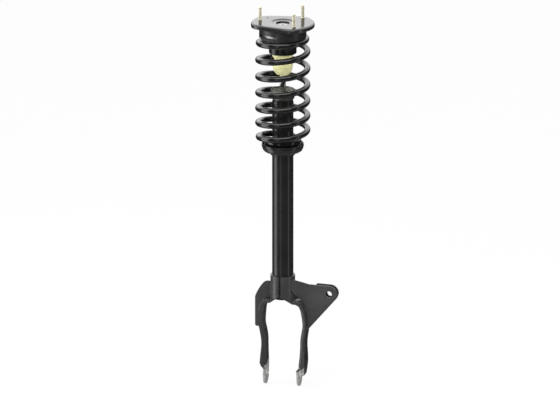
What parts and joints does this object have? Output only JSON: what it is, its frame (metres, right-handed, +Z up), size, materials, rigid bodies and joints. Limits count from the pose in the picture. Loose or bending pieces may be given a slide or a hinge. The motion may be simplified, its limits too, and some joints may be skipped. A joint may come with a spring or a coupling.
{
  "type": "suspension strut assembly",
  "caption": "Coil-over strut with a three-stud top mount, a bump stop, a monotube damper, a side link bracket and a stamped fork for the lower bolt.",
  "frame": {"origin": "centre of the lower bolt axis, midway between the two fork tips", "axes": "+Z up the strut's axis to the top mount, +X along the lower bolt towards the arm that carries the link bracket, +Y to the side the link bracket's second wall faces"},
  "size_m": [0.2055, 0.1294, 0.916],
  "materials": {
    "black_paint": "black electrocoat, half gloss",
    "black_powder_coat": "black powder coat, half gloss",
    "phosphated_steel": "dull grey phosphate",
    "aluminium": "turned",
    "sintered_steel": "sintered, oiled",
    "spring_steel": "ground",
    "chromed_rod": "ground and hard chromed",
    "zinc_plate": "zinc plated",
    "yellow_zinc": "pale yellow passivated zinc on steel",
    "slide_band": "filled slide band",
    "rubber": "moulded, matt",
    "yellow_foam": "moulded polyurethane foam"
  },
  "bodies": {
    "tube_and_fork": {"damper_tube": "black_paint", "tube_base": "black_paint", "rod_guide": "aluminium", "rod_seal": "rubber", "tube_cap": "phosphated_steel", "lower_spring_seat": "black_paint", "lower_spring_pad": "rubber", "fork_half_left": "black_paint", "fork_half_right": "black_paint", "gusset_plate": "black_paint", "link_bracket": "black_paint"},
    "floating_piston": {"gas_piston": "aluminium", "gas_piston_ring": "rubber"},
    "rod_and_mount": {"piston_rod": "chromed_rod", "piston": "sintered_steel", "piston_band": "slide_band", "valve_shims": "spring_steel", "piston_nut": "spring_steel", "rebound_stop": "rubber", "coil_spring": "black_powder_coat", "bump_stop": "yellow_foam", "stop_collar": "rubber", "bump_stop_cup": "black_paint", "upper_spring_pad": "rubber", "mount_housing": "black_paint", "mount_core": "zinc_plate", "mount_rubber": "rubber", "mount_sleeve": "zinc_plate", "rod_washers": "zinc_plate", "rod_nut": "zinc_plate", "mount_plate": "black_paint", "mount_studs": "yellow_zinc"}
  },
  "joints": [
    {"name": "strut_stroke", "type": "slide", "parent": "tube_and_fork", "child": "rod_and_mount", "axis": [0, 0, 1], "range_m": [-0.08, 0], "stiffness_N_per_m": 60000, "deforming": ["coil_spring", "bump_stop"]},
    {"name": "gas_piston_travel", "type": "slide", "parent": "tube_and_fork", "child": "floating_piston", "axis": [0, 0, 1], "range_m": [-0.0075, 0]}
  ],
  "couplings": [
    {"joint": "gas_piston_travel", "follows": "strut_stroke", "ratio": 0.0926}
  ]
}
